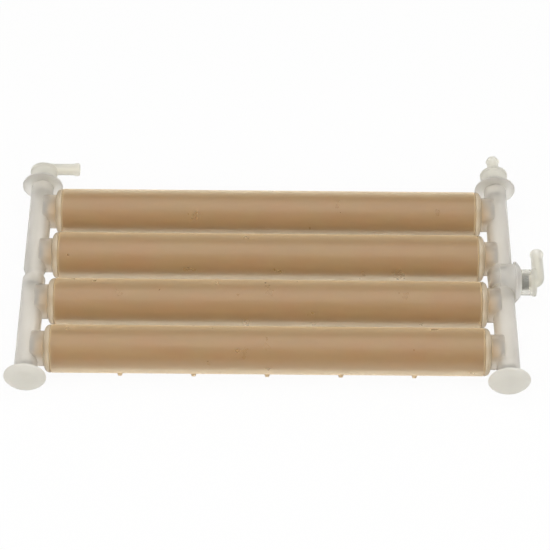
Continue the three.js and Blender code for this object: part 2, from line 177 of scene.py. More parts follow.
# Fired ceramic grit: matt and open-grained, a warm tan with soft blotches about 14 mm across
# where the binder burnt unevenly, fine grain, and a few brown specks.
stone, tree, coords = new_material("fired_ceramic_grit")
BLOTCH_MM, GRAIN_MM, SPECK_MM = 14, 1.1, 2.6
blotch = add_node(tree, "TexNoise", {"Vector": coords, "Scale": 1000 / BLOTCH_MM, "Detail": 2.5,
                                     "Roughness": 0.55})
blotch_share = add_node(tree, "MapRange", {"Value": blotch.outputs["Fac"], "From Min": 0.35,
                                           "From Max": 0.68})
grain = add_node(tree, "TexNoise", {"Vector": coords, "Scale": 1000 / GRAIN_MM, "Detail": 3,
                                    "Roughness": 0.7})
grain_share = add_node(tree, "MapRange", {"Value": grain.outputs["Fac"], "From Min": 0.3,
                                          "From Max": 0.75, "To Min": 0.0, "To Max": 0.45})
speck = add_node(tree, "TexNoise", {"Vector": coords, "Scale": 1000 / SPECK_MM, "Detail": 1})
speck_share = add_node(tree, "MapRange", {"Value": speck.outputs["Fac"], "From Min": 0.7,
                                          "From Max": 0.8, "To Min": 0.0, "To Max": 0.6})
tan = add_node(tree, "Mix", {0: blotch_share.outputs[0], 6: linear("#907240"),
                             7: linear("#936630")}, data_type="RGBA")
grained = add_node(tree, "Mix", {0: grain_share.outputs[0], 6: tan.outputs[2],
                                 7: linear("#9b8050")}, data_type="RGBA")
specked = add_node(tree, "Mix", {0: speck_share.outputs[0], 6: grained.outputs[2],
                                 7: linear("#6c4526")}, data_type="RGBA")
rough_grit = add_node(tree, "Bump", {"Height": grain.outputs["Fac"], "Strength": 0.5,
                                     "Distance": 0.25 * MM})
matt = add_node(tree, "BsdfPrincipled", {"Base Color": specked.outputs[2], "Roughness": 0.9,
                                         "Specular IOR Level": 0.3,
                                         "Normal": rough_grit.outputs["Normal"]})
add_node(tree, "OutputMaterial", {"Surface": matt.outputs[0]})

skin_half = CORE_HALF - CORE_EDGE
steps = int(2 * skin_half / CORE_STEP)
skin = [[CORE_R, skin_half * (2 * n / steps - 1)] for n in range(steps + 1)]
core = turned_ring("stone_core_1", [
    [CORE_BORE_R, -CORE_HALF], [CORE_R - CORE_EDGE, -CORE_HALF], *skin,
    [CORE_R - CORE_EDGE, CORE_HALF], [CORE_BORE_R, CORE_HALF]], sides=72)
grit = bpy.data.textures.new("grit", "CLOUDS")
grit.noise_scale = GRIT_SIZE * MM
apply_modifier(core, "DISPLACE", texture=grit, strength=GRIT_RELIEF * MM, mid_level=0.75,
               texture_coords="LOCAL")
stand(core, middle_of("porous_core_1"), X_AXIS)
cores = [core] + [
    copy_of(core, f"stone_core_{n}", middle_of(f"porous_core_{n}") - middle_of("porous_core_1"))
    for n in (2, 3, 4)]
for n, core in enumerate(cores, 1):
    finish_piece(core, stone, "bank", "porous_stone", f"porous_core_{n}", smooth=60)

# ---- Tube shells ----
# A frosted acrylic tube round each core, extruded and cut to length, that gathers the air.
# Five short nubs low on its front side are moulded on and drilled, and let the bubbles out.

SHELL_R = 12.7
SHELL_BORE_R = 11.1
SHELL_HALF = 113.75
SHELL_EDGE = 0.3
NUB_SPACING = 38.8
NUB_BELOW_LEVEL = 40
NUB_ROOT, NUB_TIP = 11.9, 14
NUB_HOLE_R = 0.45
RING_FROM_NUB = 3
OVERLAP = 1


def combine(piece, tool, operation):
    """Joins a tool to a body (UNION) or cuts it out of it (DIFFERENCE), and uses it up."""
    apply_modifier(piece, "BOOLEAN", operation=operation, object=tool, solver="MANIFOLD")
    bpy.data.objects.remove(tool)


def bar(radius, start, end, at, axis, sides=64):
    """A plain round bar along an axis through a place, between two stations in mm."""
    rod = turned("bar", [[0, start], [radius, start], [radius, end], [0, end]], sides)
    stand(rod, at, axis)
    return rod


def let_light_through(tree, shader, tint):
    """Ends a see-through material: lamps shine on through it onto what is behind."""
    path = add_node(tree, "LightPath", {})
    clear = add_node(tree, "BsdfTransparent", {"Color": linear(tint)})
    either = add_node(tree, "MixShader", {0: path.outputs["Is Shadow Ray"], 1: shader.outputs[0],
                                          2: clear.outputs[0]})
    add_node(tree, "OutputMaterial", {"Surface": either.outputs[0]})


# Frosted acrylic: clear underneath, with a fine matt skin that blurs what is behind it, a soft
# sheen that pales its edges, and faint lines along the tube from the die.
frosted, tree, coords = new_material("frosted_acrylic_tube")
DIE_LINE_MM, HAZE_MM = 0.9, 12
along = add_node(tree, "Mapping", {"Vector": coords, "Scale": (0.02, 1, 1)})
die_lines = add_node(tree, "TexNoise", {"Vector": along.outputs[0], "Scale": 1000 / DIE_LINE_MM,
                                        "Detail": 2})
haze = add_node(tree, "TexNoise", {"Vector": coords, "Scale": 1000 / HAZE_MM, "Detail": 3})
matt_skin = add_node(tree, "MapRange", {"Value": haze.outputs["Fac"], "From Min": 0.3,
                                        "From Max": 0.7, "To Min": 0.27, "To Max": 0.35})
lines = add_node(tree, "Bump", {"Height": die_lines.outputs["Fac"], "Strength": 0.35,
                                "Distance": 0.05 * MM})
acrylic = add_node(tree, "BsdfPrincipled", {
    "Base Color": linear("#f8ecd2"), "Transmission Weight": 0.95, "IOR": 1.49,
    "Sheen Weight": 1.0, "Sheen Roughness": 0.5, "Sheen Tint": linear("#fbdfb4"),
    "Roughness": matt_skin.outputs[0], "Normal": lines.outputs["Normal"]})
let_light_through(tree, acrylic, "#fbf6ec")

# A ring of edges on either side of each nub keeps the faces round it short.
nub_places = [NUB_SPACING * n for n in (-2, -1, 0, 1, 2)]
rings = [[SHELL_R, x + side] for x in nub_places for side in (-RING_FROM_NUB, RING_FROM_NUB)]
shell = turned_ring("frosted_tube_1", [
    [SHELL_BORE_R, -SHELL_HALF], [SHELL_R - SHELL_EDGE, -SHELL_HALF],
    [SHELL_R, SHELL_EDGE - SHELL_HALF], *rings, [SHELL_R, SHELL_HALF - SHELL_EDGE],
    [SHELL_R - SHELL_EDGE, SHELL_HALF], [SHELL_BORE_R, SHELL_HALF]], sides=128)
stand(shell, middle_of("tube_shell_1"), X_AXIS)
outward = Vector((0, -cos(radians(NUB_BELOW_LEVEL)), -sin(radians(NUB_BELOW_LEVEL))))
for x in nub_places:
    place = middle_of("tube_shell_1") + X_AXIS * x * MM
    nub = turned("nub", [[0, NUB_ROOT], [1.9, NUB_ROOT], [1.9, 12.5], [1.5, 12.75], [1.3, 13.05],
                         [1.12, 13.7], [1.02, 13.92], [0.85, NUB_TIP], [0, NUB_TIP]], sides=32)
    stand(nub, place, outward, X_AXIS)
    combine(shell, nub, "UNION")
    hole = bar(NUB_HOLE_R, SHELL_BORE_R - OVERLAP, NUB_TIP + OVERLAP, place, outward, sides=20)
    combine(shell, hole, "DIFFERENCE")
shells = [shell] + [
    copy_of(shell, f"frosted_tube_{n}", middle_of(f"tube_shell_{n}") - middle_of("tube_shell_1"))
    for n in (2, 3, 4)]
for n, shell in enumerate(shells, 1):
    finish_piece(shell, frosted, "bank", "frosted_shell", f"tube_shell_{n}")

# ---- Tube caps and their neck rings ----
# A moulded cap closes each end of a tube: a disc with a rounded shoulder, a stub inside for
# the core, and a spigot with a rubber ring that pushes into the header's branch.

CAP_R = 12.7
CAP_LENGTH = 3.2
CAP_SHOULDER = 3
CAP_EDGE = 0.15
CAP_SEAT_R = 10.8
CAP_RABBET_END = -4
STUB_R = 3.7
STUB_END = -10
AIR_BORE_R = 2.2
SPIGOT_R = 5
SPIGOT_LENGTH = 7.65
NECK_RING_R, NECK_RING_SECTION = 4.2, 1.6
RIDGE = 0.03
RING_LAND = 0.5
FIT_GAP = 0.3


def arc(centre, radius, start, end, steps=8):
    """Points of an arc in an outline, between two angles in degrees from the radius."""
    angles = [radians(start + (end - start) * n / steps) for n in range(steps + 1)]
    return [[centre[0] + radius * cos(a), centre[1] + radius * sin(a)] for a in angles]


def sealing_ring(name, ring_r, section):
    """A moulded rubber ring, with the fine parting ridge that its mould leaves round it."""
    half = section / 2
    outline = arc([ring_r, 0], half, -90, 270, 24)
    ridge = [[ring_r + half + RIDGE, 0] if n == 6 else p for n, p in enumerate(outline)]
    return turned(name, ridge, 64)


def cloudy_colour(tree, coords, pale, deep):
    """The clouds in a moulded plastic, and its colour between two shades of them."""
    cloud = add_node(tree, "TexNoise", {"Vector": coords, "Scale": 1000 / CLOUD_MM, "Detail": 3})
    colour = add_node(tree, "Mix", {0: cloud.outputs["Fac"], 6: linear(pale), 7: linear(deep)},
                      data_type="RGBA")
    return cloud.outputs["Fac"], colour.outputs[2]


def grained_skin(tree, coords):
    """The normal of a moulded skin with a very fine, shallow grain."""
    grain = add_node(tree, "TexNoise", {"Vector": coords, "Scale": 1000 / SKIN_MM, "Detail": 2})
    bump = add_node(tree, "Bump", {"Height": grain.outputs["Fac"], "Strength": 0.1,
                                   "Distance": 0.05 * MM})
    return bump.outputs["Normal"]


def nearness(tree, coordinate, middle, full, end):
    """1 near a middle plane, and 0 past the end, by the distance from it; all in metres."""
    offset = add_node(tree, "Math", {0: coordinate, 1: middle}, operation="SUBTRACT")
    away = add_node(tree, "Math", {0: offset.outputs[0]}, operation="ABSOLUTE")
    share = add_node(tree, "MapRange", {"Value": away.outputs[0], "From Min": full,
                                        "From Max": end, "To Min": 1.0, "To Max": 0.0})
    return share.outputs[0]


# The same acrylic moulded as a solid cap: tan where the stone glows through its thick rim.
rim, tree, coords = new_material("frosted_acrylic_cap")
FLOW_MM = 7
flow = add_node(tree, "TexNoise", {"Vector": coords, "Scale": 1000 / FLOW_MM, "Detail": 3})
warmth = add_node(tree, "Mix", {0: flow.outputs["Fac"], 6: linear("#f5e8d0"),
                                7: linear("#eedec2")}, data_type="RGBA")
matt_rim = add_node(tree, "MapRange", {"Value": flow.outputs["Fac"], "From Min": 0.3,
                                       "From Max": 0.7, "To Min": 0.35, "To Max": 0.45})
flow_bump = add_node(tree, "Bump", {"Height": flow.outputs["Fac"], "Strength": 0.1,
                                    "Distance": 0.1 * MM})
acrylic = add_node(tree, "BsdfPrincipled", {
    "Base Color": warmth.outputs[2], "Transmission Weight": 0.8, "IOR": 1.49,
    "Roughness": matt_rim.outputs[0], "Normal": flow_bump.outputs["Normal"]})
let_light_through(tree, acrylic, "#e9dcc4")

# Moulded polypropylene, unpigmented: milky and half see-through, a little cloudy inside, with
# a satin skin. Near the tubes its colour is a painted glow: it turns tan by place on the header
# to stand for the stone's light showing through the branches.
milky, tree, coords = new_material("unpigmented_polypropylene")
CLOUD_MM, SKIN_MM = 9, 1.5
PAINTED_GLOW_REACH, PAINTED_GLOW_END = 118, 124
PAINTED_GLOW_SIDE, PAINTED_GLOW_SIDE_END = 55, 58
bank_middle = (middle_of("tube_shell_1") + middle_of("tube_shell_4")) / 2
cloud, tint = cloudy_colour(tree, coords, "#f6f4f0", "#efece6")
place = add_node(tree, "SeparateXYZ", {0: coords})
# Painted glow: full on the branches inward of the pipes, none at the header's far ends.
inward = nearness(tree, place.outputs["X"], bank_middle.x, PAINTED_GLOW_REACH * MM, PAINTED_GLOW_END * MM)
beside = nearness(tree, place.outputs["Y"], bank_middle.y, PAINTED_GLOW_SIDE * MM, PAINTED_GLOW_SIDE_END * MM)
glow = add_node(tree, "Math", {0: inward, 1: beside}, operation="MULTIPLY")
painted_glow_colour = add_node(tree, "Mix", {0: glow.outputs[0], 6: tint, 7: linear("#e4d5bf")},
                data_type="RGBA")
satin = add_node(tree, "MapRange", {"Value": cloud, "From Min": 0.3, "From Max": 0.7,
                                    "To Min": 0.42, "To Max": 0.52})
plastic = add_node(tree, "BsdfPrincipled", {
    "Base Color": painted_glow_colour.outputs[2], "Transmission Weight": 0.82, "IOR": 1.49,
    "Roughness": satin.outputs[0], "Normal": grained_skin(tree, coords)})
let_light_through(tree, plastic, "#dedbd2")

# Nitrile rubber, moulded: dark grey, dull, with a faint bloom.
rubber, tree, coords = new_material("nitrile_rubber")
BLOOM_MM = 1.2
bloom = add_node(tree, "TexNoise", {"Vector": coords, "Scale": 1000 / BLOOM_MM, "Detail": 3})
grey = add_node(tree, "Mix", {0: bloom.outputs["Fac"], 6: linear("#33383a"),
                              7: linear("#4c5254")}, data_type="RGBA")
rubber_bump = add_node(tree, "Bump", {"Height": bloom.outputs["Fac"], "Strength": 0.2,
                                      "Distance": 0.03 * MM})
nitrile = add_node(tree, "BsdfPrincipled", {"Base Color": grey.outputs[2], "Roughness": 0.6,
                                            "Normal": rubber_bump.outputs["Normal"]})
add_node(tree, "OutputMaterial", {"Surface": nitrile.outputs[0]})


def ring_groove(radius, tip, direction, section):
    """The groove a ring sits in, near a spigot's tip: its two walls, floor and middle."""
    near = tip - direction * RING_LAND
    far = near - direction * (section + 2 * FIT_GAP)
    return near, far, radius - section - FIT_GAP, (near + far) / 2


near, far, floor_r, neck_ring_at = ring_groove(SPIGOT_R, SPIGOT_LENGTH, 1, NECK_RING_SECTION)
cap = turned_ring("cap", [
    [AIR_BORE_R, STUB_END], [STUB_R, STUB_END], [STUB_R, CAP_RABBET_END],
    [CAP_SEAT_R, CAP_RABBET_END], [CAP_SEAT_R, -CAP_LENGTH], [CAP_R, -CAP_LENGTH],
    *arc([CAP_R - CAP_SHOULDER, -CAP_SHOULDER], CAP_SHOULDER, 0, 90, 12),
    [SPIGOT_R, 0], [SPIGOT_R, far], [floor_r, far], [floor_r, near], [SPIGOT_R, near],
    [SPIGOT_R, SPIGOT_LENGTH], [AIR_BORE_R, SPIGOT_LENGTH]])
round_edges(cap, CAP_EDGE, 2)
neck_ring = sealing_ring("neck_seal", NECK_RING_R, NECK_RING_SECTION)
for side, axis in (("left", -X_AXIS), ("right", X_AXIS)):
    for n in (1, 2, 3, 4):
        low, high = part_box(f"tube_cap_{side}_{n}")
        tip = middle_of(f"tube_cap_{side}_{n}")
        tip.x = low.x if side == "left" else high.x
        face = tip - axis * SPIGOT_LENGTH * MM
        this_cap = copy_of(cap, f"end_cap_{side}_{n}")
        stand(this_cap, face, axis)
        finish_piece(this_cap, rim, "bank", "tube_cap", f"tube_cap_{side}_{n}")
        this_ring = copy_of(neck_ring, f"neck_seal_{side}_{n}")
        stand(this_ring, face + axis * neck_ring_at * MM, axis)
        finish_piece(this_ring, rubber, "bank", "rubber", f"neck_ring_{side}_{n}")
bpy.data.objects.remove(cap)
bpy.data.objects.remove(neck_ring)

# ---- Left header ----
# Two moulded pipes, each with a branch boss for two tubes. The rear one narrows to a neck and
# a spigot that pushes into the front one, with a rubber ring on the spigot.

PIPE_R = 6.15
PIPE_BORE_R = 4.75
PIPE_EDGE = 0.25
BOSS_R = 9.35
BOSS_START, BOSS_END = 2, 8.95
BOSS_EDGE = 0.45
SOCKET_R, SOCKET_START = 5.3, 1.3
NECK_R, NECK_LENGTH, NECK_TAPER = 5.1, 4, 3
JOINT_SPIGOT_LENGTH, JOINT_BORE_R = 7, 2.1
STEM_R = 4.45
PIPE_RING_SECTION = 1.2


def add_branches(pipe, axis_at, inward, ys, bore_start, bore_end):
    """Joins a boss to a header pipe for each tube, then cuts the pipe's bore and the sockets."""
    for y in ys:
        boss = turned("boss", [[0, BOSS_START], [BOSS_R, BOSS_START], [BOSS_R, BOSS_END],
                               [0, BOSS_END]])
        round_edges(boss, BOSS_EDGE)
        stand(boss, Vector((axis_at.x, y, axis_at.z)), inward)
        combine(pipe, boss, "UNION")
    combine(pipe, bar(PIPE_BORE_R, bore_start, bore_end, axis_at, Y_AXIS, 96), "DIFFERENCE")
    for y in ys:
        place = Vector((axis_at.x, y, axis_at.z))
        socket = bar(SOCKET_R, SOCKET_START, BOSS_END + OVERLAP, place, inward, 96)
        combine(pipe, socket, "DIFFERENCE")


def plain_header(name, axis_at, inward, ys, start, end):
    """A header pipe that is open at both ends, between two stations in mm from axis_at."""
    pipe = turned(name, [[0, start], [PIPE_R, start], [PIPE_R, end], [0, end]])
    round_edges(pipe, PIPE_EDGE)
    stand(pipe, axis_at, Y_AXIS)
    add_branches(pipe, axis_at, inward, ys, start - OVERLAP, end + OVERLAP)
    return pipe


tube_ys = [middle_of(f"porous_core_{n}").y for n in (1, 2, 3, 4)]
low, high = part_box("header_left_front")
left_axis = Vector((low.x + PIPE_R * MM, high.y, middle_of("header_left_front").z))
pipe_length = (high.y - low.y) / MM
left_front = plain_header("left_pipe_front", left_axis, X_AXIS, tube_ys[:2], -pipe_length, 0)
finish_piece(left_front, milky, "bank", "milky_plastic", "header_left_front")

low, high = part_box("header_left_rear")
joint_at = left_axis + Y_AXIS * FIT_GAP * MM
rear_end = (high.y - joint_at.y) / MM
near, far, floor_r, joint_ring_at = ring_groove(STEM_R, -JOINT_SPIGOT_LENGTH, -1,
                                                PIPE_RING_SECTION)
left_rear = turned_ring("left_pipe_rear", [
    [JOINT_BORE_R, -JOINT_SPIGOT_LENGTH], [STEM_R, -JOINT_SPIGOT_LENGTH], [STEM_R, near],
    [floor_r, near], [floor_r, far], [STEM_R, far], [STEM_R, 0], [NECK_R, 0],
    [NECK_R, NECK_LENGTH], [PIPE_R, NECK_LENGTH + NECK_TAPER], [PIPE_R, rear_end],
    [JOINT_BORE_R, rear_end]])
round_edges(left_rear, PIPE_EDGE)
stand(left_rear, joint_at, Y_AXIS)
add_branches(left_rear, joint_at, X_AXIS, tube_ys[2:], NECK_LENGTH, rear_end + OVERLAP)
finish_piece(left_rear, milky, "bank", "milky_plastic", "header_left_rear")

joint_ring = sealing_ring("joint_seal", STEM_R - PIPE_RING_SECTION / 2, PIPE_RING_SECTION)
stand(joint_ring, joint_at + Y_AXIS * joint_ring_at * MM, Y_AXIS)
finish_piece(joint_ring, rubber, "bank", "rubber", "joint_ring_left")

# ---- Right header ----
# Two pipes like those on the left, pushed into a short tee between the inner tubes, each
# against a rubber ring at the bottom of its socket. The tee's own flange faces sideways.

TEE_R = 10
TEE_REACH = 6.1
TEE_SLEEVE_R = 7.6
TEE_SLEEVE_HALF = 6.6
TEE_SOCKET_R, TEE_SOCKET_START = 6.45, 2.7
TEE_END_WALL = 1
TEE_RING_SECTION = 1.5
TEE_EDGE = 0.35
FLANGE_R = 11.15
FLANGE_RIM, FLANGE_THICKNESS = 0.8, 3.5
FLANGE_FACE_R = 8
FLANGE_EDGE = 0.3
SHOULDER_CURVE = 1.3
NIPPLE_R, NIPPLE_BORE_R, NIPPLE_LENGTH = 2.7, 1.5, 6.4
NIPPLE_CHAMFER = 0.4
FLANGE_FACE = FIT_GAP + FLANGE_THICKNESS
NIPPLE_END = FLANGE_FACE + NIPPLE_LENGTH


def flange_outline():
    """From the pipe side to the outer face: a narrow rim, then a shoulder that slopes in."""
    drop = FLANGE_R - FLANGE_FACE_R
    slope = [[FLANGE_R - drop * share ** SHOULDER_CURVE,
              FIT_GAP + FLANGE_RIM + share * (FLANGE_THICKNESS - FLANGE_RIM)]
             for share in [n / 10 for n in range(11)]]
    return [[FLANGE_R - FLANGE_EDGE, FIT_GAP], [FLANGE_R, FIT_GAP + FLANGE_EDGE], *slope]


def nipple_outline():
    """The flange, and the nipple on it that a seal and a fitting's cup go over."""
    return [*flange_outline(), [NIPPLE_R, FLANGE_FACE], [NIPPLE_R, NIPPLE_END - NIPPLE_CHAMFER],
            [NIPPLE_R - NIPPLE_CHAMFER, NIPPLE_END]]


low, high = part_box("side_tee")
tee_end = Vector((high.x - NIPPLE_END * MM, middle_of("side_tee").y, middle_of("side_tee").z))
tee_axis = tee_end - X_AXIS * TEE_REACH * MM
low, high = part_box("header_right_front")
right_front = plain_header("right_pipe_front", tee_axis, -X_AXIS, tube_ys[:2],
                           (low.y - tee_axis.y) / MM, (high.y - tee_axis.y) / MM)
finish_piece(right_front, milky, "bank", "milky_plastic", "header_right_front")
low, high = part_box("header_right_rear")
right_rear = plain_header("right_pipe_rear", tee_axis, -X_AXIS, tube_ys[2:],
                          (low.y - tee_axis.y) / MM, (high.y - tee_axis.y) / MM)
finish_piece(right_rear, milky, "bank", "milky_plastic", "header_right_rear")

barrel_start, barrel_end = FIT_GAP - BOSS_START, TEE_REACH + FIT_GAP + FLANGE_THICKNESS / 2
tee = turned("tee_body", [[0, barrel_start], [TEE_R, barrel_start], [TEE_R, barrel_end],
                          [0, barrel_end]])
round_edges(tee, TEE_EDGE)
stand(tee, tee_axis, X_AXIS)
sleeve = turned("sleeve", [[0, -TEE_SLEEVE_HALF], [TEE_SLEEVE_R, -TEE_SLEEVE_HALF],
                           [TEE_SLEEVE_R, TEE_SLEEVE_HALF], [0, TEE_SLEEVE_HALF]])
round_edges(sleeve, TEE_EDGE)
stand(sleeve, tee_axis, Y_AXIS)
combine(tee, sleeve, "UNION")
head = turned_ring("head", [[NIPPLE_BORE_R, -OVERLAP], [STEM_R, -OVERLAP], [STEM_R, FIT_GAP],
                            *nipple_outline(), [NIPPLE_BORE_R, NIPPLE_END]])
stand(head, tee_end, X_AXIS)
combine(tee, head, "UNION")
for way in (-Y_AXIS, Y_AXIS):
    socket = bar(TEE_SOCKET_R, TEE_SOCKET_START, TEE_R * 2, tee_axis, way, 96)
    combine(tee, socket, "DIFFERENCE")
combine(tee, bar(PIPE_BORE_R, -TEE_R * 2, TEE_R * 2, tee_axis, Y_AXIS, 96), "DIFFERENCE")
combine(tee, bar(PIPE_BORE_R, 0, TEE_REACH - TEE_END_WALL, tee_axis, X_AXIS, 96), "DIFFERENCE")
combine(tee, bar(NIPPLE_BORE_R, 0, TEE_REACH + 2, tee_axis, X_AXIS, 48), "DIFFERENCE")
finish_piece(tee, milky, "bank", "milky_plastic", "side_tee")

for side in ("front", "rear"):
    tee_ring = sealing_ring(f"tee_seal_{side}", PIPE_R - TEE_RING_SECTION / 2, TEE_RING_SECTION)
    stand(tee_ring, middle_of(f"tee_ring_{side}"), Y_AXIS)
    finish_piece(tee_ring, rubber, "bank", "rubber", f"tee_ring_{side}")

# ---- Flanged nipples, their rings and the cup seals ----
# A moulded stem with a ring pushes into each header's rear end up to a broad flange, and a
# nipple stands on the flange. A rubber sleeve on each nipple seals the cup that turns on it.

STEM_LENGTH = 7
SEAL_BORE_R, SEAL_R, SEAL_LENGTH, SEAL_EDGE = 3, 4, 4.2, 0.2
SIDE_LEG_RISE = 5

near, far, floor_r, stem_ring_at = ring_groove(STEM_R, -STEM_LENGTH, -1, PIPE_RING_SECTION)
stem_outline = [[STEM_R, -STEM_LENGTH], [STEM_R, near], [floor_r, near], [floor_r, far],
                [STEM_R, far], [STEM_R, FIT_GAP]]
cup_start = FLANGE_FACE + FIT_GAP
pipe_ends = {}
for side in ("left", "right"):
    place = middle_of(f"nipple_{side}")
    place.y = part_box(f"nipple_{side}")[1].y - NIPPLE_END * MM
    pipe_ends[side] = (place, Y_AXIS, X_AXIS)
    nipple = turned_ring(f"flanged_nipple_{side}", [
        [NIPPLE_BORE_R, -STEM_LENGTH], *stem_outline, *nipple_outline(),
        [NIPPLE_BORE_R, NIPPLE_END]])
    stand(nipple, place, Y_AXIS)
    finish_piece(nipple, milky, "bank", "milky_plastic", f"nipple_{side}")
    stem_ring = sealing_ring(f"nipple_seal_{side}", STEM_R - PIPE_RING_SECTION / 2,
                             PIPE_RING_SECTION)
    stand(stem_ring, place + Y_AXIS * stem_ring_at * MM, Y_AXIS)
    finish_piece(stem_ring, rubber, "bank", "rubber", f"nipple_ring_{side}")
rising = Vector((0, cos(radians(SIDE_LEG_RISE)), sin(radians(SIDE_LEG_RISE))))
pipe_ends["side"] = (tee_end, X_AXIS, rising)
for side, (place, axis, across) in pipe_ends.items():
    seal = turned_ring(f"cup_sleeve_{side}", [
        [SEAL_BORE_R, 0], [SEAL_R, 0], [SEAL_R, SEAL_LENGTH], [SEAL_BORE_R, SEAL_LENGTH]], 64)
    round_edges(seal, SEAL_EDGE, 2)
    stand(seal, place + axis * cup_start * MM, axis, across)
    finish_piece(seal, rubber, "bank", "rubber", f"cup_seal_{side}")

# ---- Swivel fittings ----
# A moulded cup with a lip snaps over each nipple and turns on it. Two carry an elbow with a
# beaded leg for the air hose, and the right rear one a straight barb.

CUP_R, CUP_LENGTH, CUP_DEPTH, CUP_BORE_R = 7.1, 8.2, 6.8, 4.3
LIP_R, LIP_LENGTH, LIP_EDGE = 7.65, 2, 0.4
LEG_R, LEG_REACH, LEG_BEND, LEG_PAST_CUP = 3.2, 20, 3.3, 1.5
BEAD_R, BEAD_LENGTH, BEAD_SLOPE = 3.65, 3.4, 1.1
BARB_R, BARB_TIP_R, BARB_CONE, BARB_REACH = 3.8, 2.6, 2.4, 12.3
CUP_EDGE, BARB_EDGE = 0.3, 0.2
HOSE_BORE_R = 1.6
POLISHED_HALF, POLISHED_END = 2.8, 4.2
cup_end = cup_start + CUP_LENGTH
leg_along = cup_end + LEG_PAST_CUP
ORIGIN = Vector((0, 0, 0))


def cup(name):
    """The cup of a fitting, still solid, round +Z with zero on the pipe end that it serves."""
    lip_start = cup_end - LIP_LENGTH
    body = turned(name, [[0, cup_start], [CUP_R, cup_start], [CUP_R, lip_start],
                         [LIP_R, lip_start + LIP_EDGE], [LIP_R, cup_end], [0, cup_end]])
    round_edges(body, CUP_EDGE)
    return body


def cut_passages(body, passage_end):
    """Cuts the room for the nipple and its seal, and the passage on from there."""
    room = bar(CUP_BORE_R, cup_start - OVERLAP, cup_start + CUP_DEPTH, ORIGIN, Z_AXIS)
    combine(body, room, "DIFFERENCE")
    combine(body, bar(HOSE_BORE_R, cup_start, passage_end, ORIGIN, Z_AXIS, 48), "DIFFERENCE")


def elbow(name):
    """A cup whose passage turns through a quarter bend into a beaded leg along +X."""
    body = cup(name)
    alone(body)
    bpy.ops.mesh.primitive_circle_add(vertices=48, radius=LEG_R * MM, fill_type="NGON",
                                      location=(0, 0, (cup_end - OVERLAP) * MM))
    leg = bpy.context.object
    bpy.ops.object.mode_set(mode="EDIT")
    bend_start = leg_along - LEG_BEND
    rise = (bend_start - cup_end + OVERLAP) * MM
    bpy.ops.mesh.select_all(action="SELECT")
    bpy.ops.mesh.extrude_region_move(TRANSFORM_OT_translate={"value": (0, 0, rise)})
    bpy.ops.mesh.spin(steps=16, angle=pi / 2, center=(LEG_BEND * MM, 0, bend_start * MM),
                      axis=(0, -1, 0))
    reach, tip_r = LEG_BEND, LEG_R
    bead_start = LEG_REACH - BEAD_LENGTH
    for new_r, new_reach in (
            [LEG_R, bead_start], [BEAD_R - 0.1, bead_start + 0.8],
            [BEAD_R, bead_start + BEAD_SLOPE], [BEAD_R, LEG_REACH - BEAD_SLOPE],
            [BEAD_R - 0.15, LEG_REACH - 0.6], [BEAD_R - 0.5, LEG_REACH - 0.12],
            [BEAD_R - 0.9, LEG_REACH]):
        step = (new_reach - reach) * MM
        bpy.ops.mesh.extrude_region_move(TRANSFORM_OT_translate={"value": (step, 0, 0)})
        scale = new_r / tip_r
        bpy.ops.transform.resize(value=(1, scale, scale),
                                 center_override=(new_reach * MM, 0, leg_along * MM))
        reach, tip_r = new_reach, new_r
    bpy.ops.mesh.select_all(action="SELECT")
    bpy.ops.mesh.remove_doubles(threshold=SAME_POINT * MM)
    bpy.ops.mesh.normals_make_consistent(inside=False)
    bpy.ops.object.mode_set(mode="OBJECT")
    alone(leg)
    bpy.ops.object.transform_apply(location=True, rotation=True, scale=True)
    combine(body, leg, "UNION")
    cut_passages(body, leg_along)
    at = Vector((0, 0, leg_along * MM))
    combine(body, bar(HOSE_BORE_R, 0, LEG_REACH + OVERLAP, at, X_AXIS, 48), "DIFFERENCE")
    return body


def fitting_plastic(name, clearness, cup_roughness):
    """Polypropylene for a fitting, clear to the share given, with its own roughness at the seal."""
    material, tree, coords = new_material(name)
    cloud, tint = cloudy_colour(tree, coords, "#f6f5ee", "#efece2")
    satin = add_node(tree, "MapRange", {"Value": cloud, "From Min": 0.3, "From Max": 0.7,
                                        "To Min": 0.4, "To Max": 0.48})
    place = add_node(tree, "SeparateXYZ", {0: coords})
    at_seal = nearness(tree, place.outputs["X"], middle_of("cup_seal_side").x,
                       POLISHED_HALF * MM, POLISHED_END * MM)
    gloss = add_node(tree, "Mix", {0: at_seal, 2: satin.outputs[0], 3: cup_roughness})
    plastic = add_node(tree, "BsdfPrincipled", {
        "Base Color": tint, "Transmission Weight": clearness, "IOR": 1.49,
        "Roughness": gloss.outputs[0], "Normal": grained_skin(tree, coords)})
    let_light_through(tree, plastic, "#e4e1d9")
    return material


# The fittings' plastic is the same polypropylene with a satin skin. The side one is moulded
# clearer, with a polished cup that the dark seal shows through.
satin_fitting = fitting_plastic("satin_polypropylene_fitting", 0.65, 0.4)
clear_fitting = fitting_plastic("clear_polypropylene_fitting", 0.9, 0.26)

for side, look in (("left", satin_fitting), ("side", clear_fitting)):
    fitting = elbow(f"elbow_swivel_{side}")
    stand(fitting, *pipe_ends[side])
    finish_piece(fitting, look, f"elbow_{side}", "fitting_plastic", f"elbow_fitting_{side}")

barbed = cup("barb_swivel_right")
tip = cup_end + BARB_REACH
root = cup_end - OVERLAP
barb = turned("barb", [[0, root], [LEG_R, root], [LEG_R, tip - BARB_CONE],
                       [BARB_R, tip - BARB_CONE], [BARB_TIP_R, tip], [0, tip]])
round_edges(barb, BARB_EDGE)
combine(barbed, barb, "UNION")
cut_passages(barbed, tip + OVERLAP)
stand(barbed, *pipe_ends["right"])
finish_piece(barbed, satin_fitting, "barb_right", "fitting_plastic", "straight_fitting_right")

# ---- End plugs and their rings ----
# A moulded plug closes each header's front end: the same stem, ring and broad flange, with no
# bore. It pulls out by its flange when the pipes are rinsed.

PLUG_EDGE = 0.2

